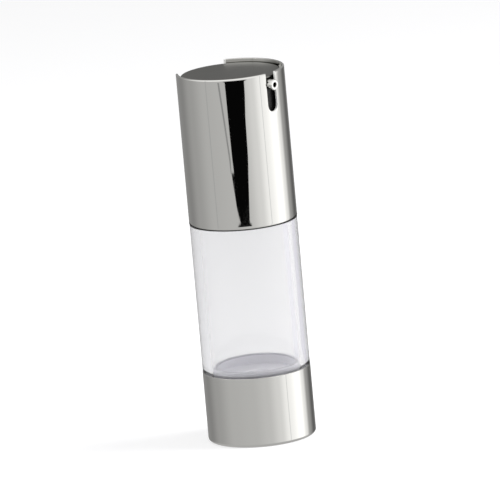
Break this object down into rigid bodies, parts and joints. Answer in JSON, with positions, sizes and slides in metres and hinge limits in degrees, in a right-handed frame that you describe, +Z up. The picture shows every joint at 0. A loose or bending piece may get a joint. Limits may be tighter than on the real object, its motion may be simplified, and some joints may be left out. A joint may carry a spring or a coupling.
{
  "type": "airless pump bottle",
  "caption": "Cylindrical airless pump bottle: bright metal sleeve with a press button and side nozzle, clear wall with a rising follower piston, bright metal base.",
  "frame": {"origin": "centre of the base's resting face", "axes": "+Z up along the bottle's axis, -Y the way the nozzle points, +Y towards the finger scoop"},
  "size_m": [0.034, 0.0354, 0.118],
  "materials": {
    "bright_metal": "polished",
    "button_metal": "satin",
    "clear_wall": "gloss",
    "follower_plastic": "satin",
    "dark_plastic": "satin",
    "white_plastic": "satin",
    "seal_plastic": "satin",
    "steel": "gloss"
  },
  "bodies": {
    "bottle": {"base_shell": "bright_metal", "base_plug": "white_plastic", "clear_bottle": "clear_wall", "head_sleeve": "bright_metal", "sleeve_liner": "white_plastic", "neck_collar": "white_plastic", "neck_gasket": "seal_plastic", "pump_housing": "white_plastic", "housing_cap": "white_plastic", "stem_wiper": "seal_plastic", "pump_spring": "steel"},
    "actuator": {"button_plate": "button_metal", "button_shell": "dark_plastic", "actuator_core": "white_plastic", "nozzle_tube": "bright_metal", "upper_stem": "white_plastic", "lower_stem": "white_plastic"},
    "seal": {"pump_seal": "seal_plastic"},
    "follower": {"follower_piston": "follower_plastic"},
    "inlet_valve": {"inlet_ball": "steel"}
  },
  "joints": [
    {"name": "button_press", "type": "slide", "parent": "bottle", "child": "actuator", "axis": [0, 0, -1], "range_m": [0, 0.006], "stiffness_N_per_m": 1500, "springref_m": -0.003, "deforming": ["pump_spring"]},
    {"name": "seal_lag", "type": "slide", "parent": "actuator", "child": "seal", "axis": [0, 0, 1], "range_m": [0, 0.00075]},
    {"name": "follower_rise", "type": "slide", "parent": "bottle", "child": "follower", "axis": [0, 0, 1], "range_m": [0, 0.0478]},
    {"name": "inlet_lift", "type": "slide", "parent": "bottle", "child": "inlet_valve", "axis": [0, 0, 1], "range_m": [0, 0.0005]}
  ]
}
